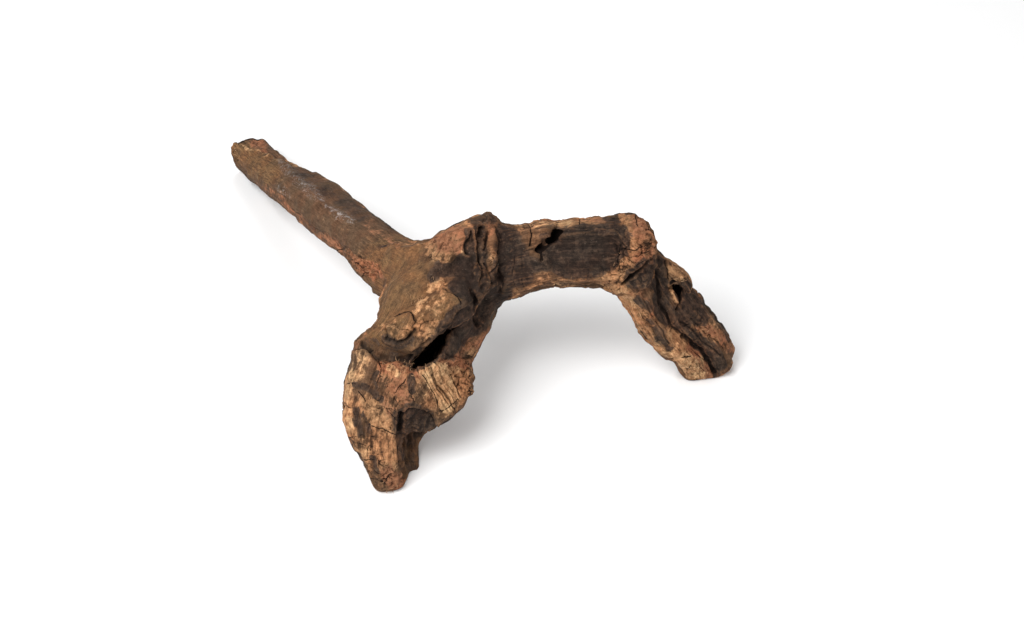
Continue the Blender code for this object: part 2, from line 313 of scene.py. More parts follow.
# A plate is the height of its broken edge, how far back it reaches, and its line, which has the standing
# side on its left hand as it is drawn.
PLATES = [
    # The slanting break at the spar's tip, and the lower edge of its flat top.
    (2.4, 7, [(288, 166), (279, 161), (271, 156), (261, 154), (250, 150), (234, 143)]),
    (1.2, 5, [(280, 194), (306, 221), (330, 236), (352, 250)]),
    # The broken shelf across the front leg.
    (2.0, 6, [(468, 358), (450, 358), (436, 364), (414, 366), (396, 363), (380, 364), (372, 352), (358, 350)]),
    # The lip's lower edge.
    (1.8, 5, [(412, 350), (426, 346), (440, 332), (452, 318), (468, 304)]),
    # The leg's edge beside the recess.
    (1.8, 5, [(400, 482), (397, 458), (397, 434), (400, 416), (408, 408), (420, 408), (432, 414), (436, 424)]),
    # The right flank of the folds.
    (2.4, 4, [(501, 284), (500, 270), (494, 258), (496, 246), (494, 232)]),
    # The flap at the end of the arm's bowl.
    (2.2, 7, [(534, 248), (541, 244), (548, 237), (553, 229)]),
    # The far wall of the arm's bowl.
    (1.4, 5, [(626, 244), (618, 232), (604, 228), (584, 225), (566, 227), (556, 231)]),
    # The elbow's broken edge over the dark hollow.
    (1.8, 6, [(620, 287), (630, 276), (645, 269), (655, 258), (656, 246)]),
    # The pale patch of the leg.
    (0.8, 3, [(384, 362), (372, 350), (357, 350)]),
]

# Dents and swellings along the outline: how far they reach, their height and their line.
OUTLINE = [
    (4, -1.5, [(238, 140), (256, 138)]), (3, 1.3, [(262, 143), (273, 153)]), (4, -2.0, [(233, 162), (242, 172)]),
    (3, 0.3, [(232, 144), (231, 152)]), (3, -1.3, [(288, 161), (312, 173)]), (3, 0.8, [(318, 174), (338, 186)]),
    (4, -0.4, [(340, 188), (366, 208)]), (4, -1.5, [(380, 222), (398, 234), (412, 240)]),
    (3, -0.7, [(272, 202), (294, 218)]), (3, 0.7, [(298, 223), (310, 232)]),
    (4, -1.4, [(446, 228), (454, 222), (468, 216), (484, 213)]), (4, 1.4, [(489, 216), (497, 222), (508, 224)]),
    (3, -1.3, [(510, 223), (530, 222)]), (3, -0.6, [(566, 218), (585, 218)]), (3, -0.8, [(604, 217), (616, 214)]),
    (3, 0.7, [(618, 214), (634, 213)]), (4, -1.0, [(641, 215), (651, 226)]), (3, 0.7, [(656, 253), (667, 261)]),
    (4, -1.5, [(704, 304), (716, 320)]),
    (5, 1.0, [(727, 334), (732, 346)]), (4, -1.2, [(733, 361), (727, 372)]), (4, -2.2, [(672, 366), (688, 379)]),
    (3, -1.2, [(640, 338), (650, 347)]), (3, -0.8, [(627, 312), (632, 322)]), (3, 0.6, [(586, 287), (604, 289)]),
    (3, -1.3, [(506, 302), (530, 295), (556, 288)]), (3, -1.0, [(498, 308), (490, 330), (481, 347)]),
    (4, 1.4, [(471, 378), (472, 394)]), (5, -2.2, [(466, 401), (454, 414), (438, 427)]),
    (3, -0.8, [(419, 438), (419, 464)]), (3, -0.8, [(352, 343), (345, 375), (342, 396)]),
    (3, -0.6, [(342, 410), (344, 428)]),
    (3, -0.8, [(357, 336), (364, 328)]), (3, -1.2, [(376, 304), (376, 319)]), (3, 0.8, [(375, 293), (378, 300)]),
    (3, -0.9, [(360, 277), (370, 288)]), (3, -0.9, [(358, 456), (370, 484)]),
]

relief = np.zeros(count)
for reach, height, path in OUTLINE:
    chosen, gap, _ = near(path, reach, seen_only=False)
    relief[chosen] += height * np.clip(1 - (gap / reach) ** 2, 0, 1) ** 2 * edge_on[chosen]
for upward, strokes in [(-1, GROOVES), (1, RIDGES)]:
    for half_width, height, path in strokes:
        chosen, gap, _ = near(path, half_width * 1.2)
        relief[chosen] += upward * height * np.clip(1 - (gap / half_width) ** 2, 0, 1) ** 2 * facing[chosen]
for height, reach, path in PLATES:
    chosen, gap, side = near(path, reach)
    standing = ramp(-side * gap, -0.5, 0.5) - 0.5
    relief[chosen] += height * standing * np.clip(1 - gap / reach, 0, 1) ** 1.5 * facing[chosen]

# The roughness of the whole skin.
# Worn wood is smooth on the spar and the hub and furrowed elsewhere. It broke into blocks and crumbs
# where it rotted along its cracks, and into strands where the front leg is torn.

# Each mark is its half width, its strength and its line.
SMOOTH_PARTS = [
    (13, 0.7, [(395, 262), (400, 300), (392, 316)]),
    (7, 0.55, [(464, 292), (446, 300), (424, 312)]),
    (6, 0.4, [(440, 244), (452, 236), (464, 240)]),
    (9, 0.55, [(545, 262), (580, 256), (616, 250)]),
    (3, 0.8, [(534, 224), (566, 221), (602, 221)]),
    (5, 0.5, [(372, 346), (400, 354)]),
    (6, 0.8, [(366, 354), (358, 370), (352, 382)]),
    (5, 0.5, [(470, 312), (468, 334)]),
]
BLOCKY_PARTS = [
    (8, 0.2, [(438, 242), (452, 234), (464, 236)]),
    (8, 0.15, [(466, 296), (446, 306), (424, 318)]),
    (6, 0.6, [(426, 330), (408, 336), (388, 332)]),
    (8, 0.8, [(644, 226), (648, 246), (636, 264)]),
    (7, 0.8, [(622, 250), (616, 272)]),
    (7, 0.6, [(394, 384), (388, 400)]),
    (6, 0.9, [(460, 370), (467, 390)]),
    (6, 0.3, [(690, 362), (700, 368)]),
    (5, 0.5, [(372, 466), (386, 478)]),
    (4, 0.8, [(676, 270), (684, 276)]),
]
CRUMBLING_PARTS = [
    (4, 0.9, [(648, 226), (652, 240), (646, 256)]),
    (4, 1.0, [(350, 258), (362, 264), (372, 272)]),
    (3, 0.8, [(382, 366), (400, 366), (430, 370), (466, 364)]),
    (5, 0.7, [(384, 480), (400, 484)]),
    (5, 0.9, [(458, 374), (468, 392)]),
    (3, 0.4, [(395, 338), (420, 334), (446, 318)]),
    (5, 0.3, [(440, 246), (452, 238), (462, 244)]),
    (2, 0.8, [(231, 146), (233, 160)]),
    (2, 0.5, [(240, 141), (264, 141)]),
    (3, 0.8, [(338, 250), (350, 262), (372, 276)]),
    (4, 0.6, [(700, 328), (714, 332)]),
]
STRANDED_PARTS = [
    (7.5, 1.0, [(429, 372), (438, 388), (447, 404)]),
    (5, 0.9, [(444, 370), (452, 388)]),
]
STRAND_RUN = (0.48, 0.877)
STRAND_SIDE = (0.877, -0.48)
BLOCK = 8.0
CRUMB = 3.0

# The spar is counted from 30 mm out of the hub, and wholly from 60 mm.
on_spar = shares[0] * ramp(limb_places[0][:, 0], 30, 60)
smooth_parts = np.maximum(stain(SMOOTH_PARTS), 0.92 * on_spar)
hidden = 1 - facing
crumbling = np.maximum(stain(CRUMBLING_PARTS), 0.6 * ramp(lumps(22, seed=31), 0.35, 0.8) * hidden * (1 - on_spar))
blocky = np.maximum(stain(BLOCKY_PARTS), 0.8 * ramp(lumps(30, seed=33), 0.1, 0.6) * hidden * (1 - on_spar))
fibrous = stain(STRANDED_PARTS)
across = (seen @ STRAND_SIDE) * PIXEL_SIZE
strands = np.zeros(count)
for number in np.flatnonzero(fibrous > 0):
    along = (seen[number] @ STRAND_RUN) * PIXEL_SIZE
    strands[number] = noise.noise(Vector((along / 26, across[number] / 1.1, 3.0))) * 1.8
furrowed = (1 - 0.85 * smooth_parts) * (1 - 0.8 * fibrous) * (0.6 + 0.4 * ramp(lumps(22, seed=3), -0.4, 0.5))

# Long furrows, finer ones, and short drying checks across them.
furrows = -np.abs(texture(48, 5.5, seed=4)) * 1.2
small_furrows = -np.abs(texture(16, 2.2, seed=5)) * 0.7
checks = -np.clip(0.13 - np.abs(texture(4.5, 15, seed=6)), 0, 1) * 5.0 * ramp(texture(16, 8, seed=7), 0.0, 0.4)
middle, rim = chunks(BLOCK, seed=21)
small_middle, small_rim = chunks(CRUMB, seed=23)
block_splits = 1 - ramp(rim, 0.0, 0.16)
crumb_splits = 1 - ramp(small_rim, 0.0, 0.35)
relief += furrowed * (furrows + small_furrows + checks + 0.8)
relief += (1 - 0.7 * on_spar) * (0.55 * lumps(9, seed=8) + 0.35 * lumps(4, seed=9) * (1 - 0.6 * smooth_parts))
relief += blocky * (1.3 * (0.42 - middle) - 1.1 * block_splits * ramp(lumps(11, seed=37), -0.3, 0.3))
relief += blocky * 0.3 * (0.4 - small_middle)
relief += fibrous * 0.9 * strands
relief += crumbling * (1.0 * lumps(2.4, seed=10) + 0.5 * lumps(1.3, seed=11) - 0.5 * crumb_splits)

# Nothing stands lower than the flat ends that the piece rests on.
relief *= ramp(places[:, 2], 0.3, 4.0)
worn = places + outward * relief[:, None]
wood.data.vertices.foreach_set("co", (worn / PER_METRE).astype(np.float32).ravel())
wood.data.update()

# How deep each place lies below the wood around it, at two sizes.
wood.data.vertex_normals.foreach_get("vector", flat)
worn_outward = flat.reshape(-1, 3).astype(float)
around = np.stack([spread(worn[:, k], times=6) for k in range(3)], axis=1)
hollow_small = ((around - worn) * worn_outward).sum(axis=1)
around = np.stack([spread(around[:, k], times=60) for k in range(3)], axis=1)
hollow_large = ((around - worn) * worn_outward).sum(axis=1)

# The colours over the wood.
# The wood is olive brown, golden on the hub and the lip. Edges that were rubbed are tan, fresh fibres
# are pale, torn places are red, and some patches are charred dark. Pale specks of painted glint lie on the
# spar. Painted shade darkens the hollows, the holes and the gaps between torn strands, and the charcoal
# marks are partly charred patches and partly painted shade in grooves and recesses.

# Charcoal marks: partly dark charred patches of the wood, partly painted shade laid in the grooves, the recesses and
# under the lip.
CHARRED_AND_SHADE = [
    (5, 0.55, [(296, 170), (320, 184), (346, 203), (362, 216)]),
    (3, 0.4, [(306, 222), (318, 228)]),
    (6.5, 1.6, [(465, 268), (468, 279), (465, 288)]),
    (5, 1.4, [(476, 284), (480, 294)]),
    (4, 1.0, [(455, 270), (444, 271)]),
    (4, 0.7, [(440, 268), (432, 276)]),
    (3, 0.8, [(468, 234), (471, 250)]),
    (3, 0.9, [(480, 230), (481, 256), (484, 282)]),
    (6, 1.5, [(506, 236), (507, 256), (503, 276), (496, 298)]),
    (3, 1.1, [(470, 250), (474, 258), (480, 262)]),
    (3, 0.6, [(474, 220), (494, 219)]),
    (5, 0.5, [(366, 346), (380, 354), (398, 356)]),
    (3, 0.8, [(386, 338), (398, 345), (410, 339)]),
    (4.5, 1.1, [(412, 362), (430, 354), (442, 336)]),
    (7, 1.15, [(446, 338), (462, 318), (472, 308)]),
    (6, 1.1, [(484, 296), (480, 316), (474, 326)]),
    (4, 0.9, [(448, 352), (462, 338)]),
    (6, 1.1, [(404, 418), (414, 414), (426, 420)]),
    (6, 0.75, [(404, 430), (420, 428)]),
    (6, 0.55, [(408, 436), (410, 456), (412, 466)]),
    (2.5, 0.75, [(411, 376), (413, 390)]),
    (2.0, 0.75, [(356, 384), (368, 390), (381, 397)]),
    (1.6, 0.65, [(371, 378), (378, 394)]),
    (2.2, 0.65, [(358, 408), (357, 420), (362, 434)]),
    (1.2, 0.65, [(364, 414), (368, 432)]),
    (1.5, 0.8, [(376, 372), (372, 378)]),
    (10, 1.3, [(560, 248), (585, 244), (610, 242)]),
    (6, 1.1, [(560, 266), (590, 267), (606, 262)]),
    (4, 0.8, [(610, 216), (614, 232)]),
    (8, 1.25, [(508, 246), (516, 262), (520, 272)]),
    (4, 0.8, [(530, 266), (548, 264)]),
    (6, 1.15, [(636, 277), (650, 271), (656, 280)]),
    (4, 1.15, [(658, 262), (659, 292), (666, 318)]),
    (3, 1.0, [(676, 312), (684, 326)]),
    (2, 0.9, [(676, 326), (698, 345), (712, 362)]),
    (2.5, 0.9, [(714, 364), (718, 378)]),
    (6, 1.15, [(684, 290), (698, 314)]),
    (4, 1.0, [(692, 336), (712, 352), (722, 364)]),
    (2.5, 0.7, [(638, 300), (650, 308)]),
    (3, 0.6, [(648, 322), (660, 338), (668, 346)]),
    (2, 0.6, [(372, 458), (377, 472)]),
]
TAN = [
    (7, 0.8, [(438, 248), (450, 236), (464, 234)]),
    (4, 0.75, [(440, 250), (444, 260)]),
    (5, 0.6, [(446, 252), (456, 248), (463, 249)]),
    (7, 0.24, [(466, 296), (448, 302), (424, 316)]),
    (4, 0.75, [(436, 280), (440, 288)]),
    (5, 0.42, [(420, 330), (404, 334), (388, 330)]),
    (4, 0.6, [(424, 336), (434, 326)]),
    (4, 0.9, [(346, 380), (346, 410), (352, 432)]),
    (7, 0.72, [(370, 404), (380, 424), (386, 448), (388, 462)]),
    (5, 0.6, [(362, 442), (372, 462)]),
    (6, 0.55, [(388, 376), (398, 392), (392, 406)]),
    (2.4, 0.9, [(532, 224), (560, 221), (602, 220)]),
    (4, 0.15, [(535, 232), (545, 234)]),
    (4, 0.5, [(500, 298), (540, 284), (590, 280), (630, 286)]),
    (4, 0.35, [(536, 274), (560, 270)]),
    (7, 0.8, [(624, 222), (634, 240), (624, 268)]),
    (5, 0.7, [(606, 272), (616, 262)]),
    (7, 0.95, [(618, 294), (632, 308), (644, 326)]),
    (6, 1.1, [(650, 346), (672, 360), (694, 370)]),
    (7, 1.5, [(676, 344), (692, 354), (700, 364)]),
    (3, 0.8, [(670, 268), (684, 274)]),
    (3, 0.7, [(692, 292), (702, 316)]),
    (3, 1.0, [(698, 328), (708, 330), (716, 335)]),
    (5, 0.85, [(384, 370), (404, 372), (424, 376)]),
    (4, 0.55, [(716, 318), (726, 344)]),
    (4, 0.6, [(410, 390), (420, 394), (428, 404)]),
    (3, 0.7, [(440, 412), (452, 408), (462, 402)]),
    (8, 1.0, [(456, 372), (466, 392)]),
    (4, 0.9, [(700, 358), (708, 366)]),
    (4, 0.7, [(516, 230), (508, 224)]),
    (3, 0.6, [(466, 346), (472, 352)]),
    (3, 0.8, [(476, 263), (473, 272)]),
    (3, 0.4, [(490, 250), (494, 266), (492, 278)]),
]
PALE = [
    (5, 0.66, [(366, 354), (358, 368), (352, 380)]),
    (3, 0.7, [(345, 392), (347, 412), (350, 426)]),
    (4.5, 1.2, [(428, 370), (438, 388), (446, 404)]),
    (4, 1.0, [(440, 370), (450, 386), (454, 394)]),
    (2, 0.8, [(390, 368), (396, 374)]),
    (2, 0.6, [(404, 370), (412, 368)]),
    (1.4, 0.9, [(437, 279), (434, 285), (430, 292)]),
    (1.2, 0.6, [(443, 281), (438, 291), (431, 300)]),
    (1.4, 0.7, [(426, 300), (420, 307), (413, 313)]),
    (1.2, 0.4, [(449, 287), (441, 298), (434, 306)]),
    (1.0, 0.6, [(428, 308), (420, 317), (414, 322)]),
    (2.2, 0.8, [(534, 223), (552, 221), (568, 221)]),
    (2.6, 2.0, [(688, 369), (692, 371)]),
    (7, 0.75, [(662, 351), (678, 361), (694, 368)]),
    (4, 0.4, [(366, 440), (374, 462)]),
    (1.2, 0.7, [(463, 253), (465, 255)]),
    (1.0, 0.9, [(487, 280), (488, 283)]),
    (1.0, 0.9, [(494, 279), (495, 282)]),
    # The ridge at the spar's broken tip: a painted highlight.
    (1.1, 0.72, [(243, 148), (250, 151), (261, 155), (268, 157)]),
    (1.4, 0.8, [(669, 288), (674, 300)]),
    (1.8, 0.8, [(676, 280), (684, 280)]),
    (4, 0.6, [(620, 297), (632, 306)]),
    (1.5, 0.7, [(640, 284), (650, 285)]),
    (2, 0.7, [(412, 425), (414, 426)]),
    (2.4, 0.5, [(546, 264), (580, 263), (592, 266)]),
]
RED = [
    (2.0, 0.6, [(264, 187), (282, 203), (300, 219), (312, 230)]),
    (4, 0.8, [(322, 240), (345, 256), (364, 268), (376, 276)]),
    (3, 0.7, [(364, 262), (376, 268)]),
    (3, 0.5, [(364, 220), (380, 232), (396, 243)]),
    # The slanting facet at the spar's tip: red brown, laid darker as painted shade.
    (3, 0.8, [(254, 141), (261, 143), (266, 149)]),
    (4, 0.6, [(362, 330), (352, 346)]),
    (4, 1.0, [(384, 366), (404, 367), (420, 371)]),
    (3.5, 0.9, [(444, 363), (458, 359), (468, 364)]),
    (7, 0.65, [(386, 376), (404, 392), (400, 408)]),
    (5, 0.95, [(388, 474), (400, 486)]),
    (4, 0.4, [(462, 378), (468, 392)]),
    (7, 0.8, [(642, 222), (648, 244), (644, 258)]),
    (6, 0.55, [(622, 252), (630, 268)]),
    (5, 1.3, [(697, 350), (705, 360), (708, 370)]),
    (4, 0.6, [(640, 300), (652, 312)]),
    (4, 0.7, [(722, 334), (730, 348)]),
    (7, 0.9, [(445, 243), (457, 238), (463, 248)]),
    (4, 0.45, [(476, 222), (490, 230)]),
    (4, 0.7, [(482, 326), (484, 344)]),
    (3, 0.7, [(699, 327), (713, 333)]),
    (4, 0.7, [(464, 346), (476, 340)]),
    (3, 0.7, [(596, 222), (606, 222)]),
    (4, 0.6, [(386, 398), (394, 412)]),
]
GOLDEN = [
    (8, 1.0, [(466, 296), (446, 304), (424, 316)]),
    (18, 0.9, [(396, 268), (404, 296), (388, 318)]),
    (7, 0.95, [(237, 152), (250, 160), (268, 172)]),
]
# Where the spar's coat shines; pale specks of painted glint are laid there too.
GLOSSY = [
    (1.8, 0.8, [(283, 165), (290, 173)]),
    (2.6, 0.8, [(296, 178), (312, 194)]),
    (1.8, 1.1, [(312, 188), (322, 197)]),
    (1.8, 1.1, [(328, 206), (338, 214), (350, 221)]),
    (1.8, 0.7, [(279, 187), (286, 194)]),
]
# Cracks on the seen side, thin and dark.
CRACKS = [
    [(344, 383), (350, 382), (357, 384)], [(344, 405), (352, 406)], [(370, 426), (377, 428), (383, 428)],
    [(383, 429), (388, 431), (395, 432)], [(348, 438), (353, 436)], [(349, 436), (355, 442)],
    [(360, 443), (367, 446)], [(363, 461), (372, 461)], [(355, 350), (364, 351), (373, 350)],
    [(380, 360), (380, 373), (376, 383)], [(395, 392), (400, 386), (405, 380)],
    [(440, 410), (448, 406), (457, 399)], [(370, 479), (378, 482), (385, 484)],
    [(381, 479), (387, 477), (391, 472)], [(384, 483), (387, 476)], [(422, 374), (431, 390), (440, 408)],
    [(447, 290), (455, 296), (460, 304)], [(466, 306), (460, 315)], [(410, 312), (413, 322)],
    [(395, 318), (402, 314), (410, 312)],
    [(529, 224), (530, 236), (529, 247)], [(543, 250), (541, 259)],
    [(553, 229), (554, 234), (550, 239)], [(621, 246), (618, 256), (613, 269)], [(621, 250), (632, 249), (643, 247)],
    [(634, 250), (640, 246), (651, 244)], [(617, 262), (620, 270)], [(628, 258), (634, 262)],
    [(635, 216), (637, 224)], [(640, 256), (648, 252)], [(644, 262), (636, 266)], [(648, 228), (652, 236)],
    [(580, 219), (580, 224)], [(665, 260), (666, 270), (669, 278)], [(677, 290), (679, 301), (677, 310)],
    [(683, 358), (690, 356)], [(686, 373), (688, 362)], [(697, 364), (703, 370)], [(693, 350), (700, 358)],
    [(683, 326), (687, 324)], [(338, 251), (345, 248)], [(362, 276), (366, 272)], [(358, 262), (364, 266)],
    [(410, 390), (414, 402)], [(462, 372), (466, 380)], [(360, 392), (366, 402)], [(390, 414), (396, 420)],
]

# The holes, painted black all the way in as shade.
HOLE_SHADE = [
    (1.8, 1.0, [(674, 284), (678, 290)]),
    (2.2, 1.3, [(540, 249), (547, 244), (555, 236)]),
    (1.8, 0.9, [(417, 360), (430, 353), (440, 342)]),
    (1.8, 0.9, [(401, 415), (400, 430)]),
]

# How far each place lies from the nearest crack's line, with a sign for the side of it and without.
NO_CRACK = 9.0
line_side = np.full(count, NO_CRACK)
line_near = np.full(count, NO_CRACK)
for path in CRACKS:
    chosen, gap, side = near(path, 2.5)
    closer = (gap < line_near[chosen]) & (facing[chosen] > 0.2)
    line_near[chosen[closer]] = gap[closer]
    line_side[chosen[closer]] = (gap * side)[closer]

charred_field = lumps(30, seed=41) + 0.5 * texture(30, 9, seed=42)
tan_field = lumps(24, seed=43) + 0.4 * texture(20, 6, seed=44)
# On the seen side the charcoal marks are partly painted shade; on the hidden side they are random charred blotches.
charred_and_shade = np.maximum(stain(CHARRED_AND_SHADE), hidden * 1.1 * ramp(charred_field, -0.1, 0.5))
tan = np.maximum(stain(TAN), hidden * 0.9 * ramp(tan_field, 0.05, 0.6))
pale = np.maximum(stain(PALE), hidden * 0.8 * ramp(texture(22, 5, seed=45), 0.55, 0.95))
red = np.maximum(stain(RED), hidden * 0.8 * ramp(lumps(20, seed=46), 0.3, 0.75))
golden = np.maximum(stain(GOLDEN), hidden * 0.8 * ramp(lumps(34, seed=47), 0.0, 0.6))
layers = {
    "charred_and_shade": charred_and_shade, "tan": tan, "pale": pale, "red": red, "golden": golden, "glossy": stain(GLOSSY),
    "holes": stain(HOLE_SHADE), "smooth": smooth_parts, "blocky": blocky, "fibrous": fibrous,
    # painted shade in the low gaps between the torn strands
    "shade_between_strands": fibrous * ramp(-strands, 0.15, 0.55),
    "spar_share": shares[0], "trunk_share": shares[1], "arm_share": shares[2],
    "line_side": line_side, "line_near": line_near, "hollow_small": hollow_small, "hollow_large": hollow_large,
}

# The skin is thinned out to fewer triangles, and each place of the new skin takes on the values of the
# nearest place of the full one.
modifier = wood.modifiers.new("thinned", "DECIMATE")
modifier.ratio = TRIANGLES / (2 * len(wood.data.polygons))
bpy.ops.object.modifier_apply(modifier=modifier.name)
finder = KDTree(count)
for number, place in enumerate(worn / PER_METRE):
    finder.insert(place, number)
finder.balance()
source = np.array([finder.find(vertex.co)[1] for vertex in wood.data.vertices])
for name, values in layers.items():
    layer = wood.data.attributes.new(name, "FLOAT", "POINT")
    layer.data.foreach_set("value", values[source].astype(np.float32))
for name, place in zip(LIMBS, limb_places):
    layer = wood.data.attributes.new(name + "_grain", "FLOAT_VECTOR", "POINT")
    layer.data.foreach_set("vector", place[source].astype(np.float32).ravel())


class Tone:
    """A socket of a material's nodes. Arithmetic on it adds Math nodes to that material."""

    def __init__(self, tree, socket=None):
        self.tree = tree
        self.socket = socket

    def node(self, kind, settings, inputs, output=0):
        """Adds a node with its settings, then the values or links of its sockets."""
        new = self.tree.nodes.new(kind)
        for name, value in settings.items():
            setattr(new, name, value)
        for name, value in inputs.items():
            if isinstance(value, Tone):
                self.tree.links.new(value.socket, new.inputs[name])
            else:
                new.inputs[name].default_value = value
        return Tone(self.tree, new.outputs[output])

    def math(self, operation, first, second=0.0):
        return self.node("ShaderNodeMath", {"operation": operation}, {0: first, 1: second})

    def __add__(self, other):
        return self.math("ADD", self, other)

    def __radd__(self, other):
        return self.math("ADD", other, self)

    def __sub__(self, other):
        return self.math("SUBTRACT", self, other)

    def __rsub__(self, other):
        return self.math("SUBTRACT", other, self)

    def __mul__(self, other):
        return self.math("MULTIPLY", self, other)

    def __rmul__(self, other):
        return self.math("MULTIPLY", other, self)

    def size(self):
        return self.math("ABSOLUTE", self)

    def larger(self, other):
        return self.math("MAXIMUM", self, other)

    def step(self, low, high):
        """Rises smoothly from 0 at low to 1 at high."""
        return self.node("ShaderNodeMapRange", {"interpolation_type": "SMOOTHSTEP"},
                         {"Value": self, "From Min": low, "From Max": high})


def layer_value(tone, name, output="Fac"):
    """One of the values that the skin's places carry."""
    return tone.node("ShaderNodeAttribute", {"attribute_name": name}, {}, output)


def stretched_noise(tone, vector, length, breadth, detail, offset):
    """Noise from 0 to 1 whose patches have that length along the vector's X and breadth along the rest."""
    scaled = tone.node("ShaderNodeMapping", {}, {
        "Vector": vector, "Location": (offset, offset, offset), "Scale": (1 / length, 1 / breadth, 1 / breadth)})
    return tone.node("ShaderNodeTexNoise", {}, {"Vector": scaled, "Scale": 1.0, "Detail": detail, "Roughness": 0.6})


def even_noise(tone, vector, size, detail, offset):
    """The same, but as long as it is broad."""
    return stretched_noise(tone, vector, size, size, detail, offset)


def along_grain(tone, length, breadth, detail, offset):
    """The same along the grain of each limb. Where limbs meet, one's noise fades into the other's."""
    total = 0.0
    for limb in LIMBS:
        place = layer_value(tone, limb + "_grain", "Vector")
        share = layer_value(tone, limb + "_share")
        total = total + share * stretched_noise(tone, place, length, breadth, detail, offset)
    return total


def colour_mix(tone, amount, under, over, blend="MIX"):
    """One colour over another. The Mix node's colour sockets have the numbers 6, 7 and 2."""
    return tone.node("ShaderNodeMix", {"data_type": "RGBA", "blend_type": blend}, {0: amount, 6: under, 7: over}, 2)


def new_finish(name):
    """A new material, its nodes for arithmetic, and its places in millimetres."""
    made = bpy.data.materials.new(name)
    made.use_nodes = True
    tone = Tone(made.node_tree)
    place = tone.node("ShaderNodeTexCoord", {}, {}, "Object")
    return made, tone, tone.node("ShaderNodeVectorMath", {"operation": "SCALE"}, {0: place, "Scale": PER_METRE})


def set_shader(finish, varying, fixed):
    """Links what changes over the surface to the shader, and sets what is the same all over it."""
    shader = finish.node_tree.nodes["Principled BSDF"]
    for name, tone in varying.items():
        finish.node_tree.links.new(tone.socket, shader.inputs[name])
    for name, value in fixed.items():
        shader.inputs[name].default_value = value


DARK_BROWN = (0.07, 0.038, 0.022, 1)
MID_BROWN = (0.15, 0.081, 0.046, 1)
SPAR_BROWN = (0.093, 0.053, 0.032, 1)
HUB_BROWN = (0.1, 0.055, 0.03, 1)
HUB_GOLD = (0.178, 0.092, 0.042, 1)
TAN_WOOD = (0.255, 0.125, 0.062, 1)
OCHRE_WOOD = (0.36, 0.192, 0.098, 1)
PALE_WOOD = (0.48, 0.29, 0.155, 1)
RED_WOOD = (0.24, 0.103, 0.056, 1)
RUST_WOOD = (0.17, 0.066, 0.035, 1)
CHARCOAL = (0.027, 0.018, 0.0145, 1)
WARM_CHARCOAL = (0.07, 0.043, 0.03, 1)
# Black for the cracks, and for the painted shade of hollows and holes.
CRACK_AND_SHADE_BLACK = (0.007, 0.004, 0.003, 1)
DUST = (0.42, 0.33, 0.24, 1)
GLINT_WHITE = (0.42, 0.4, 0.39, 1)
WARM_TINT = (1.07, 0.97, 0.89, 1)
GREEN_TINT = (0.96, 1.0, 0.97, 1)

material, bare, millimetres = new_finish("weathered driftwood")
fibre = along_grain(bare, 6.0, 0.45, detail=3.0, offset=3.0)
streak = along_grain(bare, 16.0, 1.7, detail=4.0, offset=31.0)
patch = even_noise(bare, millimetres, 8.0, detail=5.0, offset=57.0)
mottle = even_noise(bare, millimetres, 2.6, detail=4.0, offset=71.0)
speck = even_noise(bare, millimetres, 0.8, detail=2.0, offset=83.0)
wander = (patch - 0.5) * 1.7 + (streak - 0.5) * 1.2 + (mottle - 0.5) * 1.1 + (speck - 0.5) * 0.3

charred_and_shade_here = (layer_value(bare, "charred_and_shade") + wander * 0.8).step(0.37, 0.63)
tan_here = (layer_value(bare, "tan") + wander).step(0.27, 0.8)
pale_here = (layer_value(bare, "pale") + wander * 0.9).step(0.35, 0.95)
red_here = (layer_value(bare, "red") + wander).step(0.3, 0.95)
golden_here = (layer_value(bare, "golden") + wander * 0.5).step(0.15, 0.9)
hollow = layer_value(bare, "hollow_small")
wide_hollow = layer_value(bare, "hollow_large")
smooth = layer_value(bare, "smooth")

# Drying cracks: wavy lines across the grain and finer ones along it, broken into stretches, and the
# lines that were drawn.
cross_crack = 1 - (along_grain(bare, 5.5, 15.0, detail=2.0, offset=11.0) - 0.5).size().step(0.003, 0.011)
cross_crack = cross_crack * even_noise(bare, millimetres, 8.0, detail=2.0, offset=21.0).step(0.53, 0.58)
long_crack = 1 - (along_grain(bare, 34.0, 4.2, detail=3.0, offset=41.0) - 0.5).size().step(0.003, 0.012)
long_crack = long_crack * along_grain(bare, 14.0, 7.0, detail=2.0, offset=23.0).step(0.52, 0.58)
cracked_area = (layer_value(bare, "tan") + layer_value(bare, "pale") + layer_value(bare, "blocky") * 0.6
                + (patch - 0.5) * 1.6 + 0.15).step(0.35, 0.8) * (1 - smooth * 0.9)
cracked_area = cracked_area * (1 - layer_value(bare, "fibrous") * 0.9) * (1 - charred_and_shade_here * 0.6)
drawn_crack = 1 - (layer_value(bare, "line_side") + (mottle - 0.5) * 0.9).size().step(0.1, 0.28)
drawn_crack = drawn_crack * (1 - layer_value(bare, "line_near").step(0.5, 0.9))
crack = (cross_crack.larger(long_crack * 0.7) * cracked_area).larger(drawn_crack)

# Each colour is streaked or mottled in itself.
hub_colour = colour_mix(bare, (patch * 0.3 + streak * 0.3 + fibre * 0.4).step(0.4, 0.62), HUB_BROWN, HUB_GOLD)
tan_colour = colour_mix(bare, (streak * 0.5 + mottle * 0.5).step(0.4, 0.62), TAN_WOOD, OCHRE_WOOD)
red_colour = colour_mix(bare, mottle.step(0.32, 0.58), RUST_WOOD, RED_WOOD)
pale_colour = colour_mix(bare, (fibre * 0.6 + mottle * 0.4).step(0.38, 0.62), OCHRE_WOOD, PALE_WOOD)
coal_warmth = (streak * 0.5 + mottle * 0.5 - layer_value(bare, "charred_and_shade") * 0.14 + 0.1).step(0.38, 0.66)
coal_colour = colour_mix(bare, coal_warmth, CHARCOAL, WARM_CHARCOAL)
edge_worn = (0 - hollow).step(0.04, 0.22) * 0.4 * (1 - smooth * 0.7) * (1 - charred_and_shade_here * 0.6)

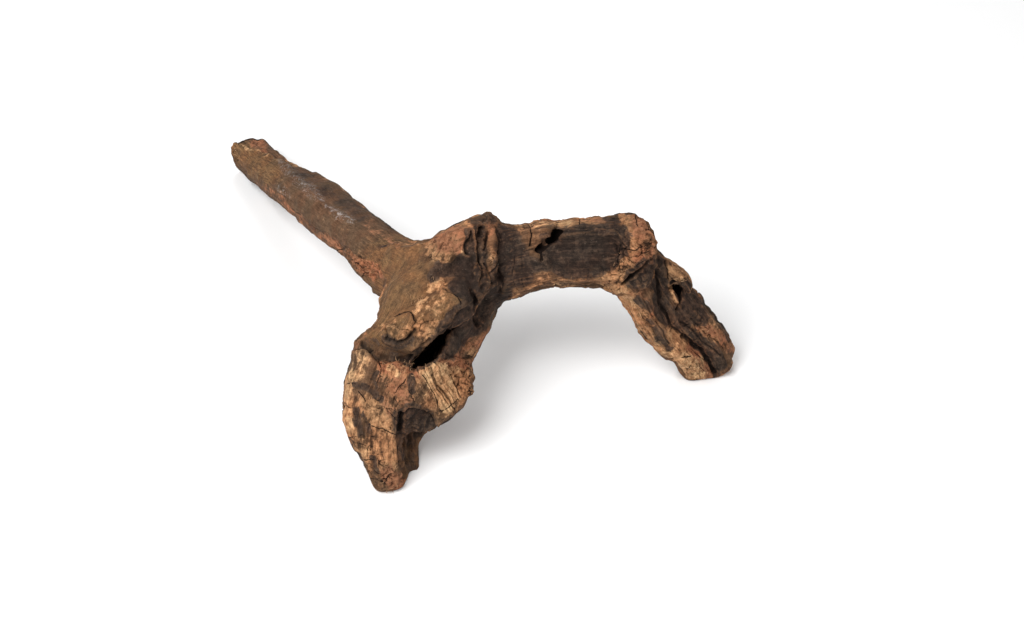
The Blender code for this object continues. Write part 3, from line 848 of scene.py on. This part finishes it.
# The colours lie over each other in this order, each with how much of it covers what is under it.
base = colour_mix(bare, (streak * 0.5 + patch * 0.5).step(0.36, 0.62), DARK_BROWN, MID_BROWN)
for cover, colour in [
    (smooth * 0.75, SPAR_BROWN),
    (golden_here, hub_colour),
    (tan_here, tan_colour),
    (red_here, red_colour),
    (pale_here, pale_colour),
    # painted shade between the torn strands
    (layer_value(bare, "shade_between_strands") * 0.5, DARK_BROWN),
    # charcoal: partly charred patches, partly painted shade in grooves and recesses
    (charred_and_shade_here * (1 - edge_worn), coal_colour),
    (edge_worn * 0.6, TAN_WOOD),
    # painted shade: the deeper a place lies in a hollow, small or wide, the nearer to black it is painted
    (hollow.step(0.02, 0.28) * 0.6 + wide_hollow.step(0.3, 2.0) * 0.25, CRACK_AND_SHADE_BLACK),
]:
    base = colour_mix(bare, cover, base, colour)

# A slow drift from warm to cool over the piece, and light and dark fibres, streaks and specks.
drift = even_noise(bare, millimetres, 13.0, detail=3.0, offset=65.0).step(0.38, 0.62)
base = colour_mix(bare, 1.0, base, colour_mix(bare, drift, WARM_TINT, GREEN_TINT), "MULTIPLY")
shade = 1.0 + (fibre - 0.5) * 1.3 + (streak - 0.5) * 0.9 + (mottle - 0.5) * 1.3 + (speck - 0.5) * 1.0
shades = bare.node("ShaderNodeCombineColor", {}, {0: shade, 1: shade, 2: shade})
base = colour_mix(bare, 1.0, base, shades, "MULTIPLY")

# Dust and pale specks of painted glint lie on top, and the cracks and the painted shade of the holes go through it
# all.
dust = even_noise(bare, millimetres, 1.0, detail=2.0, offset=97.0).step(0.66, 0.78)
glossy = layer_value(bare, "glossy")
# Painted glints: pale specks in the base colour where the spar shines.
painted_glint = glossy * (mottle * 0.45 + speck * 0.55).step(0.53, 0.6)
for cover, colour in [
    (dust * 0.22, DUST),
    (painted_glint * 0.4, GLINT_WHITE),
    (crack * 0.95, CRACK_AND_SHADE_BLACK),
    # painted shade in the holes
    ((layer_value(bare, "holes") + (mottle - 0.5) * 0.6).step(0.3, 0.6) * 0.96, CRACK_AND_SHADE_BLACK),
]:
    base = colour_mix(bare, cover, base, colour)

height = (fibre * 0.4 + streak * 0.5 + speck * 0.4 + mottle * 0.7) * (1 - smooth * 0.5) - crack * 0.9
bump = bare.node("ShaderNodeBump", {}, {"Strength": 1.0, "Distance": 0.0011, "Height": height})
rough = 0.8 + (speck - 0.5) * 0.3 - glossy * 0.2
sheen = glossy * (mottle * 0.4 + speck * 0.6).step(0.5, 0.6)
set_shader(material, {"Base Color": base, "Roughness": rough, "Coat Weight": sheen, "Normal": bump},
           {"Specular IOR Level": 0.08, "Coat Roughness": 0.2})

wood.data.materials.clear()
wood.data.materials.append(material)
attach(wood, "root")
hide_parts("driftwood")

# The torn fibres.
# Where the wood was torn across its grain, short dry hairs of it still stand up from the edge. Each is
# a splinter about as thick as a bristle, thinner and bent at its tip, and grown from the wood itself.

# A hair's length and thickness, in metres. The rest is in millimetres: how deep its root stands, how far
# it may stand from its edge's line, and how far behind the front of the edge. Then how much hairs differ
# in the way that they lean.
HAIR_LENGTH = 0.003
HAIR_THICKNESS = 0.0003
ROOT_DEPTH = 0.5
EDGE_BREADTH = 1.2
FRONT_DEPTH = 14
SCATTER = 0.45

# How many hairs, how far they lean from the skin, and the line of pixels that they stand along.
TORN_EDGES = [
    (16, 0.9, [(384, 364), (396, 362), (410, 365), (424, 366)]),
    (8, 0.8, [(386, 372), (400, 374), (412, 370)]),
    (10, 0.8, [(430, 286), (436, 282), (442, 284)]),
    (10, 0.7, [(412, 312), (420, 304), (428, 298)]),
    (8, 0.7, [(444, 368), (456, 364), (466, 368)]),
    (8, 0.6, [(428, 376), (438, 394), (446, 406)]),
    (6, 0.6, [(624, 250), (620, 262), (614, 272)]),
    (7, 0.6, [(350, 258), (362, 266), (374, 274)]),
    (6, 0.6, [(676, 280), (684, 280)]),
    (7, 0.6, [(698, 328), (712, 331)]),
    (7, 0.8, [(232, 146), (236, 158)]),
    (6, 0.7, [(382, 484), (396, 488)]),
]
chance = np.random.default_rng(seed=5)
bpy.ops.object.select_all(action="DESELECT")
bpy.ops.mesh.primitive_cone_add(
    vertices=5, radius1=HAIR_THICKNESS / 2, radius2=HAIR_THICKNESS / 8, depth=HAIR_LENGTH,
    location=(0, 0, HAIR_LENGTH / 2))
hair = bpy.context.object
bpy.ops.object.transform_apply(location=True, rotation=False, scale=False)
bpy.ops.object.mode_set(mode="EDIT")
bpy.ops.mesh.select_all(action="SELECT")
bpy.ops.mesh.bisect(plane_co=(0, 0, HAIR_LENGTH / 1.8), plane_no=(0, 0, 1))
bpy.ops.mesh.select_all(action="DESELECT")
bpy.ops.object.mode_set(mode="OBJECT")
for vertex in hair.data.vertices:
    vertex.select = vertex.co.z > HAIR_LENGTH / 1.1
bpy.ops.object.mode_set(mode="EDIT")
bpy.ops.transform.translate(value=(HAIR_LENGTH / 3.5, 0, -HAIR_LENGTH / 9))
bpy.ops.object.mode_set(mode="OBJECT")

hairs = []
from_eye = np.linalg.norm(worn - EYE, axis=1)
for number, lean, path in TORN_EDGES:
    chosen, _, _ = near(path, EDGE_BREADTH)
    chosen = chosen[facing[chosen] > 0.5]
    # Wood that lies further back on the same line of sight is left out.
    chosen = chosen[from_eye[chosen] < from_eye[chosen].min() + FRONT_DEPTH]
    for spot in chance.choice(chosen, min(number, len(chosen)), replace=False):
        copy = hair.copy()
        copy.data = hair.data.copy()
        bpy.context.scene.collection.objects.link(copy)
        turn = Vector(worn_outward[spot]) + lean * Vector(chance.normal(0, SCATTER, 3))
        copy.rotation_mode = "QUATERNION"
        copy.rotation_quaternion = turn.to_track_quat("Z", "X")
        copy.scale = Vector((1, 1, chance.uniform(0.5, 1.2)))
        copy.location = Vector((worn[spot] - ROOT_DEPTH * worn_outward[spot]) / PER_METRE)
        hairs.append(copy)
bpy.data.objects.remove(hair, do_unlink=True)
bpy.ops.object.select_all(action="DESELECT")
for copy in hairs:
    copy.select_set(True)
bpy.context.view_layer.objects.active = hairs[0]
bpy.ops.object.join()
bpy.ops.object.transform_apply(location=True, rotation=True, scale=True)
torn = bpy.context.object
torn.name = "torn_fibres"

fibre_finish, dry, dry_place = new_finish("dry torn fibres")
dry_shade = even_noise(dry, dry_place, 4.0, detail=3.0, offset=9.0)
dry_colour = colour_mix(dry, dry_shade.step(0.35, 0.65), OCHRE_WOOD, PALE_WOOD)
dry_grain = even_noise(dry, dry_place, 0.3, detail=2.0, offset=4.0)
dry_bump = dry.node("ShaderNodeBump", {}, {"Strength": 0.5, "Distance": 0.0001, "Height": dry_grain})
set_shader(fibre_finish, {"Base Color": dry_colour, "Normal": dry_bump},
           {"Roughness": 0.7, "Specular IOR Level": 0.2})
torn.data.materials.clear()
torn.data.materials.append(fibre_finish)
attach(torn, "root")

# The floor and the light.
# A plain pale floor under soft light: a broad lamp above and to the left, weaker ones from the right
# and from behind, and a pale sky that fills the shade.

bpy.ops.mesh.primitive_plane_add(size=6, location=(0, 0, 0))
floor = bpy.context.object
floor.name = "floor"
floor_finish = bpy.data.materials.new("pale floor")
floor_finish.use_nodes = True
set_shader(floor_finish, {}, {"Base Color": (0.86, 0.86, 0.86, 1), "Roughness": 0.9})
floor.data.materials.append(floor_finish)

# Each lamp's place in metres, its size and its power. All are turned to the middle of the wood.
AIM = Vector((0, 0, 0.04))
for name, place, size, power in [
    ("main lamp", (-0.45, -0.6, 0.95), 0.7, 17.0),
    ("side lamp", (0.9, -0.8, 0.7), 0.8, 4.5),
    ("back lamp", (-0.1, 1.1, 0.9), 0.6, 6.0),
]:
    lamp = bpy.data.objects.new(name, bpy.data.lights.new(name, "AREA"))
    lamp.data.size = size
    lamp.data.energy = power
    lamp.location = place
    lamp.rotation_euler = (AIM - Vector(place)).to_track_quat("-Z", "Y").to_euler()
    bpy.context.scene.collection.objects.link(lamp)

sky = bpy.data.worlds.new("pale sky")
sky.use_nodes = True
sky.node_tree.nodes["Background"].inputs["Color"].default_value = (1, 1, 1, 1)
sky.node_tree.nodes["Background"].inputs["Strength"].default_value = 0.4
bpy.context.scene.world = sky
bpy.context.scene.view_settings.view_transform = "Standard"

# The camera.
# It stands where the picture was taken from, one metre away and 40 degrees above, with a long lens that
# keeps the limbs nearly as large behind as in front.

camera = bpy.data.objects.new("camera", bpy.data.cameras.new("camera"))
camera.data.lens = LENS
camera.data.sensor_width = SENSOR
camera.location = EYE / PER_METRE
camera.rotation_euler = Vector(SIGHT).to_track_quat("-Z", "Y").to_euler()
bpy.context.scene.collection.objects.link(camera)
bpy.context.scene.camera = camera
